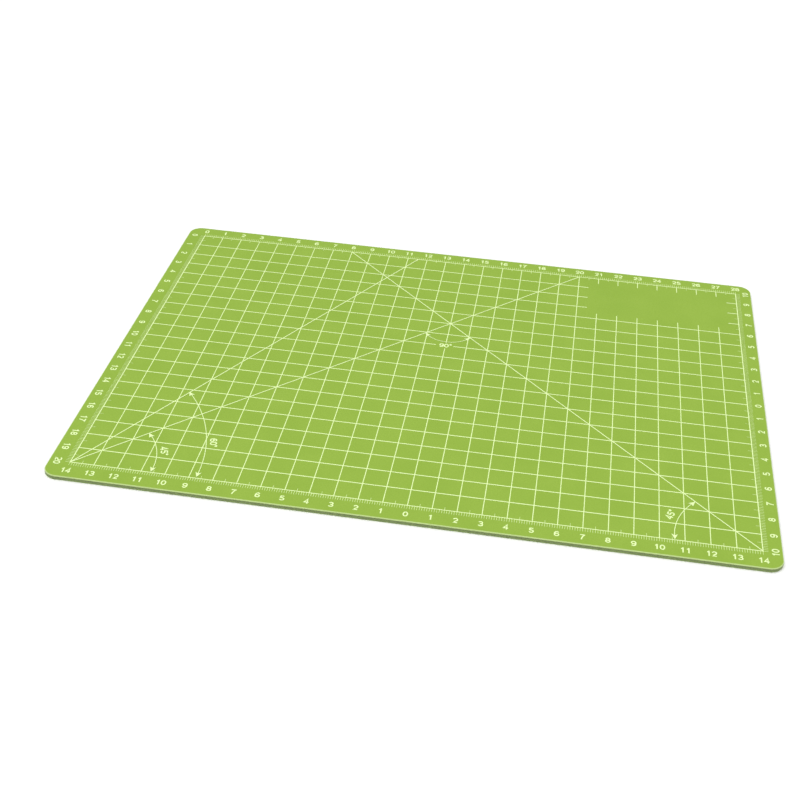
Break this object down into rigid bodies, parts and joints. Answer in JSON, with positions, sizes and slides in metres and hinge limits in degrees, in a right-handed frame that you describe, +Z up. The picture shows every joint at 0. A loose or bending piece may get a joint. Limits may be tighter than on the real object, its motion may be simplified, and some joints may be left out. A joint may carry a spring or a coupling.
{
  "type": "self healing cutting mat",
  "caption": "Flat green self healing cutting mat with rounded corners and a white printed centimetre grid, edge scales and angle guides, for cutting leather and paper on a bench.",
  "frame": {"origin": "centre of the underside, where the mat rests on the bench", "axes": "+X along the long side, in the direction in which the scale at the far side counts up; +Y across the mat to the far long side; +Z up, out of the printed face"},
  "size_m": [0.297, 0.2186, 0.0021],
  "materials": {
    "self_healing_skin": "matte",
    "stiff_core": "matte",
    "print_ink": "satin"
  },
  "bodies": {
    "root": {"bottom_skin": "self_healing_skin", "core_sheet": "stiff_core", "top_skin": "self_healing_skin", "print_columns": "print_ink", "print_rows": "print_ink", "print_angle_lines": "print_ink", "print_arc_45_left": "print_ink", "print_arc_60": "print_ink", "print_arc_45_right": "print_ink", "print_arc_90": "print_ink"}
  },
  "joints": []
}
